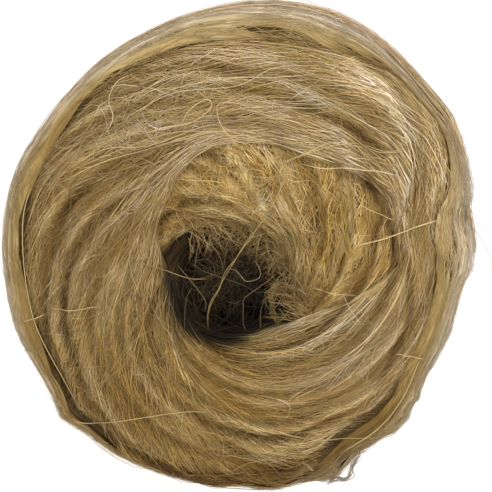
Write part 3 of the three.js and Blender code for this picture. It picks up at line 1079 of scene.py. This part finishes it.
def frayed_ground(rng, lays):
    """Places on the shoulder along the frayed stretch."""
    angle = np.radians(rng.uniform(284, 378, lays))
    return angle, rng.uniform(place["shoulder"] + 1, place["side high"] + 5, lays)


fibres(
    "frayed_fibres", np.random.default_rng(52), lays=50, each=6, height=(-0.4, 0.1),
    length=(8, 24), half_width=(0.6, 1.8), fibre_width=(0.06, 0.12), own=12, stray=9, tuck=-0.35,
    bend=0.3, points=8, spread=0.05, lock_spread=0.05,
    **(rim | {"ground": frayed_ground, "allowed": between(place["rim"], place["heel"])}),
)

# ---------------------------------------------------------------------------------------------
# The side: crossed wraps, climbing and falling round the spool in bands.
# ---------------------------------------------------------------------------------------------
SIDE_CLIMB = 13.0             # degrees off level
# The side's strands under its wraps, painted darker as shade.
SIDE_SHADE_HEMP = [hue * 0.86 for hue in HEMP]


def side_ground(rng, lays):
    """Places spread over the side, from the shoulder to the heel."""
    return rng.uniform(0, 2 * np.pi, lays), rng.uniform(place["shoulder"] + 1, place["heel"] + 8, lays)


def side_shade(angles, runs):
    """As for all outer wraps, with their painted light and sheen, against the middling colour of the hemp.
    """
    return outer_wraps_lit(angles, runs) / colour("96804f")


for number, way in enumerate((-1, 1)):
    side = dict(
        ground=side_ground, lean=leaning(way * SIDE_CLIMB), drop=level, shade=side_shade, hues=HEMP,
        allowed=between(place["shoulder"] - 2, place["floor outside"] + 2),
    )
    bands(
        ("rising_strands", "falling_strands")[number], np.random.default_rng(18 + number), count=255,
        height=(-1.25, -0.85), length=(45, 90), half_width=(0.7, 1.7), thick=0.15, own=3, tuck=0.7,
        bend=0.07, points=12, spread=0.03, taper=0.5, **(side | {"hues": SIDE_SHADE_HEMP}),
    )
    fibres(
        ("rising_wraps", "falling_wraps")[number], np.random.default_rng(8 + number), lays=100,
        each=10, height=(-0.8, -0.35), length=(40, 85), half_width=(3, 7), fibre_width=(0.15, 0.34),
        own=4.5, stray=5, tuck=0.8, bend=0.08, points=9, spread=0.07, lock_spread=0.09, **side,
    )
fibres(
    "side_strays", np.random.default_rng(53), lays=260, each=2, height=(-0.5, 0.1), length=(10, 34),
    half_width=(1, 4), fibre_width=(0.07, 0.14), own=22, stray=14, tuck=0.7, bend=0.5, points=8,
    spread=0.1, **side,
)

# ---------------------------------------------------------------------------------------------
# The under end: lays like those above, pressed flat by the spool's own weight.
# ---------------------------------------------------------------------------------------------
UNDER_RUNS = np.linspace(place["floor inside"], place["heel"], 100)
UNDER_SHARES = share_at(UNDER_RUNS)


def under_ground(rng, lays):
    """Places spread evenly over the under end."""
    share = np.sqrt(rng.uniform(0.03, 0.9, lays))
    return rng.uniform(0, 2 * np.pi, lays), np.interp(share, UNDER_SHARES, UNDER_RUNS)


def heel_drop(angles, runs):
    """Round the heel the lays lie as deep as the side's wraps."""
    return 0.8 * (1 - eased((runs - place["heel"]) / 8))


under = dict(
    ground=under_ground, lean=leaning(-30), drop=heel_drop, shade=side_shade, hues=HEMP,
    allowed=between(place["heel"] + 1, place["floor inside"] + 3),
)
bands(
    "under_strands", np.random.default_rng(41), count=170, height=(0.0, 0.6), length=(30, 60),
    half_width=(1.2, 2.8), thick=0.3, own=8, tuck=0.4, bend=0.1, points=10, **under,
)
fibres(
    "under_lays", np.random.default_rng(42), lays=44, each=14, height=(0.2, 0.9), length=(30, 60),
    half_width=(2, 5), fibre_width=(0.18, 0.4), own=8, stray=4, tuck=0.4, bend=0.1, **under,
)

# ---------------------------------------------------------------------------------------------
# The hole, where the mandrel was: its wall is the roving's first turns, painted dark brown as
# the shade deep in the hole, and loose fibres cross it and fill it with fluff.
# ---------------------------------------------------------------------------------------------
# Dark browns painted as the shade on the fibres deep in the hole.
HOLE_SHADE_HUES = colours("2c1f0e 231809 352611 281c0d")


def hole_ground(rng, lays):
    """Places spread over the wall of the hole."""
    return rng.uniform(0, 2 * np.pi, lays), rng.uniform(2, place["mouth"] - 2, lays)


def in_hole(angles, runs):
    """Between the floor and the edge of the painted shade."""
    return (runs > -3) & (runs < hole_shade_line(angles) + 1)


fibres(
    "hole_turns", np.random.default_rng(43), lays=44, each=9, ground=hole_ground,
    lean=leaning(20), allowed=in_hole, height=(-1.3, 0.0), length=(15, 40), half_width=(1, 3),
    fibre_width=(0.2, 0.45), own=15, stray=8, tuck=0.6, bend=0.2, hues=HOLE_SHADE_HUES, drop=level,
    shade=plain,
)


def strung(points, half_width, corners=3):
    """Rings of corners round free fibres, square to each path of points in mm."""
    path = np.gradient(points, axis=1)
    path /= np.linalg.norm(path, axis=2, keepdims=True) + 1e-9
    across = np.cross(path, [0.31, 0.22, 0.93])
    across /= np.linalg.norm(across, axis=2, keepdims=True) + 1e-9
    raised = np.cross(across, path)
    star = np.arange(corners) * 2 * np.pi / corners
    half = half_width[..., None]
    return MM * (
        points[:, :, None]
        + (half * np.cos(star))[..., None] * across[:, :, None]
        + (half * np.sin(star))[..., None] * raised[:, :, None]
    )


def arched(rng, start, middle, stop, curl):
    """Points in mm along fibres from A to C by way of B, a point near their middle, as
    (1 - t)^2 A + 2 t (1 - t) B + t^2 C, with a slow curl of about so many mm added."""
    t = np.linspace(0, 1, 10)[None, :, None]
    count = len(start)
    curls = rng.normal(0, curl, (count, 1, 3)) * np.sin(
        rng.uniform(0, ANY_PHASE, (count, 1, 3)) + rng.uniform(3, 11, (count, 1, 3)) * t
    )
    points = (1 - t) ** 2 * start + 2 * t * (1 - t) * middle + t ** 2 * stop + curls * np.sin(np.pi * t)
    points[..., 2] = np.clip(points[..., 2], 1.0, 72)
    return points


def hung(name, rng, points, width, hues, spread, shade):
    """Fine fibres along free paths of points in mm, of hues darkened by shade."""
    count, steps, _ = points.shape
    widths = rng.uniform(*width, (count, 1)) / 2 * pointed(steps)
    hue = np.array(hues)[rng.integers(0, len(hues), count)]
    tint = streaked(rng, hue, steps, spread) * shade[..., None]
    return tubes(name, strung(points, widths), tint, dry_hemp)


hole_middle = np.array(HOLE_SHIFT) - form_middle[:2]


def fluff(name, rng, count, heights, width, sag, hues, spread):
    """Curled fibres across the hole between two places on its wall, sagging in the middle."""
    angle = rng.uniform(0, 2 * np.pi, (count, 1))
    across = angle + rng.uniform(0.6, 3.6, (count, 1))
    z = rng.uniform(*heights, (count, 1))
    reach = HOLE_RADIUS + 2.4 * eased((z - 50) / 14)

    def on_wall(turn, z):
        return np.stack([
            hole_middle[0] + reach * np.cos(turn), hole_middle[1] + reach * np.sin(turn), z,
        ], axis=-1)

    start, stop = on_wall(angle, z), on_wall(across, z + rng.normal(0, 3, (count, 1)))
    middle = (start + stop) / 2 + rng.normal(0, 3.0, (count, 1, 3)) - [0, 0, sag]
    points = arched(rng, start, middle, stop, 0.9)
    off_x, off_y = points[..., 0] - hole_middle[0], points[..., 1] - hole_middle[1]
    # Painted light: the fluff is lighter towards one side of the hole and darker towards the other.
    hole_side_light = 0.3 + 1.2 * eased(0.5 + (off_y - off_x) / (2.6 * HOLE_RADIUS))
    return hung(name, rng, points, width, hues, spread, hole_side_light)


# The fluff in the hole is painted dark brown as shade: darkest deep down, a little less at the mouth.
fluff("deep_fluff", np.random.default_rng(44), 400, (4, 44), (0.3, 0.7), 2.0, HOLE_SHADE_HUES, 0.1)
fluff("mouth_fluff", np.random.default_rng(45), 280, (47, 60), (0.03, 0.09), 1.0,
      colours("44361f 33281a 54442b 3b301f"), 0.25)

# Fibres of the dish's layer that have come loose over the hole: each from a place on the dish to
# a tip that hangs free a few mm further in.
rng = np.random.default_rng(47)
hanging = 400
angle = np.radians(rng.uniform(-35, 128, (hanging, 1)))
start = wound_form(angle, hole_shade_line(angle) + rng.uniform(1, 9, (hanging, 1)), 0.2 - LIP_DROP) / MM
inwards = np.concatenate([-np.cos(angle), -np.sin(angle)], axis=1)
sideways = np.concatenate([np.sin(angle), -np.cos(angle)], axis=1)
stop = start.copy()
stop[:, 0, :2] += inwards * rng.uniform(2.5, 8, (hanging, 1)) + sideways * rng.normal(0, 4, (hanging, 1))
stop[:, 0, 2] -= rng.uniform(0, 4, hanging)
middle = (start + stop) / 2 + [0, 0, 0.8] + rng.normal(0, 0.7, (hanging, 1, 3))
points = arched(rng, start, middle, stop, 0.35)
from_middle = np.hypot(points[..., 0] - hole_middle[0], points[..., 1] - hole_middle[1])
lit = 0.25 + 0.75 * eased((from_middle - 4) / 6)
hung("hanging_fibres", rng, points, (0.07, 0.15), DISH_HEMP, 0.15, lit)

# ---------------------------------------------------------------------------------------------
# Loose fibres that have sprung out of the winding: over the mouth of the hole, over the upper
# end and along the groove. Each row gives the places that a fibre passes over, as x, y and the
# height above the winding there, in mm, and its thickness.
# ---------------------------------------------------------------------------------------------
LOOSE = (
    {"thick": 0.17, "hue": "a8935f", "end": "6e5630", "copies": 3, "apart": 0.14, "by": (
        (11.9, 19.5, 0.4), (10.6, 15.4, 1.0), (9.1, 11.5, 1.3), (6.5, 7.2, 1.6), (2.8, 2.3, 2.0),
        (1.2, 0.0, 2.0), (-0.1, -2.2, 1.6), (-2.1, -4.9, 1.2), (-3.3, -7.9, 0.8), (-5.0, -11.2, 0.2),
        (-5.7, -14.0, -0.4), (-5.6, -17.3, -1.0))},
    {"thick": 0.17, "hue": "9a875c", "end": "574629", "by": (
        (-12.4, 5.1, 0.6), (-10.1, 4.0, 1.0), (-7.8, 2.6, 1.0), (-5.8, 1.2, 0.8), (-5.0, 0.8, 0.8),
        (-3.7, -0.8, 0.6), (-2.8, -3.1, 0.6), (-2.7, -5.8, 0.6))},
    {"thick": 0.12, "hue": "665236", "by": ((-1.5, 1.2, 0.4), (-2.1, -1.3, 0.6), (-2.5, -3.9, 0.6))},
    {"thick": 0.18, "hue": "a08b58", "end": "7a5f35", "by": (
        (-19.5, -2.2, 0.4), (-17.5, -2.9, 0.7), (-14.4, -4.2, 0.8), (-12.4, -5.0, 0.6),
        (-9.7, -5.9, 0.4), (-7.6, -6.1, 0.2), (-5.4, -6.0, 0.0))},
    {"thick": 0.13, "hue": "7a6746", "by": (
        (-12.4, -2.9, 0.4), (-10.9, -4.4, 0.6), (-9.7, -5.8, 0.7), (-8.3, -7.5, 0.4), (-7.0, -9.3, 0.2),
        (-6.1, -11.0, 0.0), (-6.4, -13.2, -0.4))},
    {"thick": 0.15, "hue": "85765a", "by": (
        (-1.7, -4.2, 0.6), (-0.3, -4.2, 0.8), (0.8, -5.1, 0.8), (2.0, -6.5, 0.8), (3.5, -6.5, 0.8),
        (4.9, -5.9, 0.8), (5.2, -4.7, 0.8), (4.5, -3.1, 0.8), (3.8, -2.2, 0.6))},
    {"thick": 0.17, "hue": "806536", "end": "4c3d24", "by": (
        (8.1, -5.5, 0.3), (7.0, -6.3, 0.5), (5.3, -7.6, 0.5), (3.3, -9.0, 0.4), (1.8, -10.2, 0.2),
        (1.7, -12.1, 0.0), (1.6, -14.0, -0.3), (1.8, -16.1, -0.6), (2.6, -17.1, -0.6))},
    {"thick": 0.11, "hue": "6b5c42", "by": (
        (6.3, -9.6, 0.3), (5.5, -11.9, 0.0), (5.2, -14.0, -0.4), (5.3, -16.6, 0.0))},
    {"thick": 0.12, "hue": "5f5136", "by": (
        (-8.7, -7.5, 0.2), (-9.7, -9.1, 0.2), (-10.3, -11.2, 0.2), (-10.5, -13.6, 0.0),
        (-10.5, -16.1, 0.0), (-9.9, -18.2, 0.0))},
    {"thick": 0.12, "hue": "8a7549", "by": (
        (-15.5, -6.0, 0.3), (-14.6, -8.1, 0.4), (-13.4, -11.2, 0.3), (-12.4, -14.1, 0.3),
        (-11.8, -16.9, 0.3), (-10.5, -18.8, 0.2))},
    {"thick": 0.1, "hue": "4f4330", "by": ((-1.7, -10.7, 0.0), (-0.1, -11.1, 0.0), (1.4, -10.5, 0.0))},
    {"thick": 0.11, "hue": "5a4b34", "by": (
        (-9.5, -2.9, 0.2), (-7.8, -2.3, 0.4), (-6.2, -2.1, 0.4), (-4.6, -3.3, 0.2), (-4.4, -5.2, 0.0),
        (-5.8, -6.0, 0.0))},
    {"thick": 0.13, "hue": "75674a", "copies": 3, "apart": 0.3, "by": (
        (-9.4, 1.6, 0.4), (-8.9, 0.3, 0.4), (-8.7, -0.8, 0.2))},
    {"thick": 0.12, "hue": "7f6c3e", "end": "5c4c2c", "copies": 15, "apart": 0.45, "by": (
        (9.5, -6.8, 0.2), (7.4, -8.8, 0.5), (7.6, -11.4, 0.2), (8.2, -13.6, -0.2), (9.1, -15.6, -0.4))},
    {"thick": 0.11, "hue": "6b532d", "copies": 10, "apart": 0.65, "by": (
        (16.3, -10.3, 0.2), (13.9, -10.2, 0.8), (11.6, -10.6, 0.8), (9.7, -9.6, 0.4),
        (7.6, -7.6, 0.0))},
    {"thick": 0.16, "hue": "a98f5a", "by": (
        (4.7, 12.9, 0.3), (7.4, 14.8, 1.0), (10.4, 17.9, 1.2), (12.8, 20.4, 0.6))},
    {"thick": 0.18, "hue": "ac9260", "by": (
        (22.2, 16.0, 0.3), (24.7, 13.6, 1.2), (26.8, 9.8, 1.6), (30.9, 7.8, 1.6), (34.4, 6.4, 0.6))},
    {"thick": 0.17, "hue": "a38645", "copies": 10, "apart": 0.6, "by": (
        (23.0, 11.2, 0.0), (22.3, 8.3, 0.2), (22.7, 5.1, 0.3), (23.5, 2.0, 0.2), (24.6, -1.1, 0.0))},
    {"thick": 0.2, "hue": "8f8473", "copies": 9, "apart": 0.35, "by": (
        (26.5, -42.0, -1.0), (24.4, -45.1, -3.5), (23.8, -47.2, -5.0), (22.6, -48.2, -6.0),
        (20.9, -48.0, -6.5), (18.8, -49.4, -7.0))},
    {"thick": 0.21, "hue": "b49c6b", "by": (
        (-41.6, 14.4, 0.4), (-43.6, 8.0, 0.4), (-43.9, 0.8, 0.4), (-43.0, -7.5, 0.4),
        (-41.0, -15.8, 0.3), (-36.4, -25.2, 0.2), (-31.0, -34.5, 0.0))},
    {"thick": 0.14, "hue": "bda67b", "copies": 2, "apart": 0.9, "by": (
        (-22.0, 27.5, 0.4), (-11.5, 32.8, 0.8), (-0.2, 35.5, 0.8), (8.0, 36.2, 0.8),
        (17.0, 36.0, 0.3))},
    {"thick": 0.18, "hue": "b8a173", "by": (
        (5.0, 29.6, 0.3), (1.0, 30.8, 0.8), (-2.8, 30.6, 1.0), (-2.6, 27.4, 1.0), (-1.1, 24.8, 1.0),
        (2.0, 22.6, 0.6), (9.0, 23.6, 0.3))},
    {"thick": 0.19, "hue": "baa271", "by": (
        (-10.6, 25.2, 0.4), (-9.0, 29.0, 0.9), (-5.4, 31.6, 1.2), (-4.2, 30.0, 1.2), (-8.0, 27.0, 1.0),
        (-14.0, 25.8, 0.8), (-18.5, 24.4, 0.3))},
    {"thick": 0.16, "hue": "ad9462", "by": (
        (-13.0, 16.8, 0.3), (-11.8, 13.6, 0.9), (-10.0, 12.9, 1.0), (-7.0, 15.0, 0.8),
        (-3.0, 19.0, 0.3))},
    {"thick": 0.17, "hue": "bca67e", "by": (
        (-21.0, 36.5, 0.3), (-24.0, 35.0, 0.9), (-25.6, 31.5, 0.9), (-24.6, 27.5, 0.8),
        (-26.5, 24.0, 0.3))},
    {"thick": 0.14, "hue": "b49b64", "copies": 3, "apart": 0.9, "by": (
        (-38.0, 14.0, 0.3), (-26.0, 19.8, 0.6), (-16.0, 22.4, 0.7), (-6.0, 24.6, 0.8), (2.0, 23.6, 0.7),
        (9.0, 22.8, 0.4))},
    {"thick": 0.15, "hue": "bba579", "copies": 2, "apart": 0.5, "by": (
        (8.0, 17.0, 0.2), (14.5, 20.0, 1.6), (20.4, 22.7, 1.2), (26.0, 22.6, 1.0), (31.7, 20.9, 1.0),
        (39.5, 21.7, 0.4))},
    {"thick": 0.26, "hue": "c1b08d", "by": (
        (13.0, 18.5, 0.2), (18.8, 17.4, 1.2), (23.5, 17.7, 1.8), (27.1, 17.2, 1.8), (30.9, 16.8, 1.2),
        (34.8, 15.7, 0.3))},
    {"thick": 0.24, "hue": "bda673", "by": (
        (24.5, 1.5, 1.6), (28.5, 2.4, 3.0), (34.7, 4.3, 1.4), (38.0, 5.6, 0.9), (42.8, 6.8, 0.3))},
    {"thick": 0.19, "hue": "b89e68", "by": (
        (30.5, -3.0, 0.8), (28.0, -6.5, 1.4), (25.0, -9.5, 0.8), (20.5, -12.0, 0.3))},
    {"thick": 0.16, "hue": "b49c6c", "by": ((16.0, -7.5, 1.0), (21.0, -8.4, 2.2), (27.0, -8.8, 1.4))},
    {"thick": 0.13, "hue": "c3b393", "by": ((22.5, -8.5, 2.2), (24.8, -12.0, 1.2), (26.5, -14.5, 0.3))},
    {"thick": 0.19, "hue": "ae9563", "by": (
        (-37.5, -11.6, 0.2), (-33.0, -11.9, 0.8), (-27.0, -11.0, 0.2))},
    {"thick": 0.19, "hue": "b69f70", "by": ((33.6, -20.8, 0.3), (36.0, -21.4, 0.8), (39.4, -22.2, 0.4))},
    {"thick": 0.21, "hue": "b29969", "by": (
        (-44.0, -15.0, 0.2), (-41.0, -14.0, 0.8), (-39.0, -13.0, 0.4))},
    {"thick": 0.19, "hue": "ad9564", "by": (
        (-34.0, -35.5, 0.5), (-29.5, -36.0, 0.9), (-22.0, -34.8, 0.5), (-12.0, -33.0, 0.4),
        (-3.0, -32.6, 0.2))},
    {"thick": 0.16, "hue": "a88f5f", "by": (
        (8.0, -36.0, 0.3), (14.0, -38.2, 0.6), (22.0, -38.8, 0.5), (30.0, -38.6, 0.4))},
    {"thick": 0.21, "hue": "b29863", "by": (
        (38.5, -22.0, 0.3), (35.0, -30.0, 0.8), (30.0, -36.5, 0.8), (22.0, -42.0, 0.4))},
    {"thick": 0.09, "hue": "6e6858", "by": (
        (46.5, 7.5, -4.0), (49.6, 4.0, -8.0), (51.6, 0.6, -11.0), (53.0, -3.0, -13.0),
        (52.6, -6.5, -15.0))},
    {"thick": 0.08, "hue": "7d7766", "by": ((46.5, 10.5, -4.0), (49.6, 7.0, -8.0), (52.6, 2.6, -11.0))},
)


def under_point(x, y):
    """Angle and run of the winding under a place on the upper end, found by taking its share
    again and again from its distance to the middle that the last share gives."""
    share = np.full_like(x, 0.5)
    for _ in range(14):
        shift = (1 - share) ** 1.2
        off_x = x + form_middle[0] - shift * HOLE_SHIFT[0]
        off_y = y + form_middle[1] - shift * HOLE_SHIFT[1]
        angle = np.arctan2(off_y, off_x)
        reach = np.hypot(off_x, off_y) - share ** 2 * outline(angle) - HOLE_RADIUS
        share = 0.5 * share + 0.5 * np.clip(reach / WALL, 0.09, 0.92)
    return angle, np.interp(share, FACE_SHARES, FACE_RUNS)


def swung(rng, rows, steps):
    """Smooth paths through each row's places, scattered by what it gives as apart: between two
    of them a Catmull-Rom curve, whose slope at each is half the way between its neighbours."""
    paths = []
    for row in rows:
        p = np.array(row["by"]) + rng.normal(0, row.get("apart", 0), (len(row["by"]), 3)) * [1, 1, 0.4]
        slope = np.gradient(p, axis=0)
        at = np.linspace(0, len(p) - 1, steps)
        low = np.minimum(at.astype(int), len(p) - 2)
        u = (at - low)[:, None]
        paths.append(
            p[low] * (1 + 2 * u) * (1 - u) ** 2 + slope[low] * u * (1 - u) ** 2
            + p[low + 1] * u * u * (3 - 2 * u) + slope[low + 1] * u * u * (u - 1)
        )
    return np.stack(paths)


rng = np.random.default_rng(46)
loose = [row for row in LOOSE for copy in range(row.get("copies", 1))]
LOOSE_STEPS = 26
paths = swung(rng, loose, LOOSE_STEPS)
under_them = under_point(paths[..., 0], paths[..., 1])
paths[..., 2] += wound_form(*under_them, 0.0)[..., 2] / MM - dish_drop(*under_them)
widths = np.array([row["thick"] for row in loose])[:, None] / 2 * pointed(LOOSE_STEPS, 2.6, 0.25)
hues = np.array([colour(row["hue"]) for row in loose])
# A row's end hue is painted shade: the fibre darkens towards its end, where it goes down into or beside the
# hole.
shaded_to_end = np.array([colour(row.get("end", row["hue"])) for row in loose]) / hues
tint = streaked(rng, hues, LOOSE_STEPS, 0.05, 0.08)
tint = tint * (1 + (shaded_to_end - 1)[:, None] * np.linspace(0, 1, LOOSE_STEPS)[:, None])
tubes("loose_fibres", strung(paths, widths, corners=4), tint, dry_hemp)
